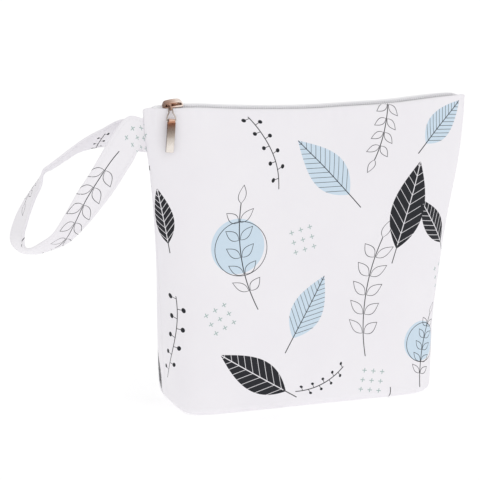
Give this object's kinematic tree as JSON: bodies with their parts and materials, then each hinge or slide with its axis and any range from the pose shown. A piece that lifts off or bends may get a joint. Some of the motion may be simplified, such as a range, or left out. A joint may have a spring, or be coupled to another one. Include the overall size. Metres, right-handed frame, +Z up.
{
  "type": "waterproof bag",
  "caption": "Soft stand-up pouch with a boxed base, a zip along the top edge with a hanging metal pull, and a cloth wrist loop at one side seam.",
  "frame": {"origin": "on the floor under the middle of the flat base", "axes": "+Z up; the front faces -Y; +X runs along the zip to the right as seen from the front, the slider and wrist loop are at the -X end"},
  "size_m": [0.3505, 0.0904, 0.2286],
  "materials": {
    "cloth": "printed plain-weave cotton, matt",
    "zip_tape": "woven tape, matt",
    "zip_coil": "satin nylon coil",
    "slider_metal": "polished rose-toned plating",
    "link_metal": "polished wire"
  },
  "bodies": {
    "bag": {"front_panel": "cloth", "back_panel": "cloth", "zip_tape_front": "zip_tape", "zip_tape_back": "zip_tape", "zip_coil": "zip_coil", "zip_slider": "slider_metal", "wrist_strap": "cloth"},
    "link": {"pull_link": "link_metal"},
    "tab": {"pull_tab": "slider_metal"}
  },
  "joints": [
    {"name": "link_swing", "type": "hinge", "parent": "bag", "child": "link", "pos_m": [-0.11, -0.00612, 0.22324], "axis": [-1, 0, 0], "range_deg": [0, 150]},
    {"name": "tab_swing", "type": "hinge", "parent": "link", "child": "tab", "pos_m": [-0.11, -0.00826, 0.21399], "axis": [-1, 0, 0], "range_deg": [0, 70]}
  ]
}
